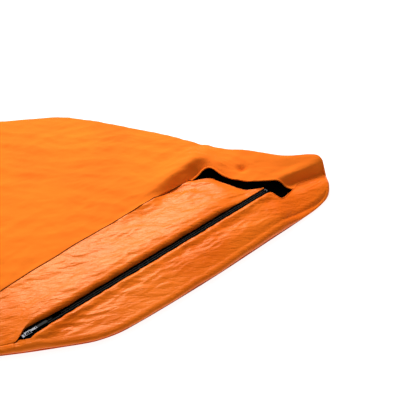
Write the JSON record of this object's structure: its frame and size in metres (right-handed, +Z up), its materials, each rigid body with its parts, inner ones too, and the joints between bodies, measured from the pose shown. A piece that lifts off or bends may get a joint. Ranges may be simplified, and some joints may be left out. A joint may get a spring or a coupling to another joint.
{
  "type": "bivy sack",
  "caption": "Hooded bivy sack lying empty: matte top panel, coated side strips, and a straight zip from the face opening to the side edge that frees a folding lapel.",
  "frame": {"origin": "on the ground, at the middle of the sack's plan", "axes": "+X along the sack to the hood end, +Y to the sleeper's right, away from the zip, +Z up from the ground"},
  "size_m": [2.1998, 0.8849, 0.0631],
  "materials": {
    "matte_shell": "matte woven nylon",
    "coated_shell": "crisp coated nylon with a satin gloss",
    "black_lining": "matte black woven",
    "seam_tape": "heat-bonded smooth tape",
    "felled_seam": "folded and stitched cloth",
    "elastic": "braided elastic",
    "zip_tape": "woven polyester tape",
    "zip_coil": "nylon coil",
    "zip_metal": "black enamelled zinc alloy",
    "pull_tab": "woven tape loop"
  },
  "bodies": {
    "sack": {"top_panel": "matte_shell", "foot_end_panel": "coated_shell", "side_strip": "coated_shell", "near_side_panel": "coated_shell", "floor_panel": "coated_shell", "floor_lining": "black_lining", "floor_seam_near": "seam_tape", "floor_seam_far": "seam_tape", "strip_seam": "felled_seam", "hood_seam": "felled_seam", "foot_seam": "felled_seam", "brim_hem": "matte_shell", "brim_elastic": "elastic", "near_rim_hem": "coated_shell", "zip_tape_lower": "zip_tape", "zip_tape_foot": "zip_tape", "zip_coil_lower": "zip_coil", "zip_coil_foot": "zip_coil", "zip_foot_stop": "zip_metal", "zip_top_stop_lower": "zip_metal"},
    "lapel": {"lapel_panel": "coated_shell", "lapel_hem": "coated_shell", "zip_tape_upper": "zip_tape", "zip_coil_upper": "zip_coil", "zip_top_stop_upper": "zip_metal"},
    "slider": {"zip_slider": "zip_metal"},
    "puller": {"zip_puller": "zip_metal", "puller_tab": "pull_tab"}
  },
  "joints": [
    {"name": "lapel_fold", "type": "hinge", "parent": "sack", "child": "lapel", "pos_m": [0.51879, -0.15704, 0.04085], "axis": [-0.6847, -0.7284, -0.0226], "range_deg": [0, 150]},
    {"name": "zip_travel", "type": "slide", "parent": "sack", "child": "slider", "axis": [0.8694, 0.4939, 0.0178], "range_m": [0, 0.745]},
    {"name": "puller_swing", "type": "hinge", "parent": "slider", "child": "puller", "pos_m": [0.24821, -0.41049, 0.03357], "axis": [0.4939, -0.8695, 0], "range_deg": [0, 165]}
  ]
}
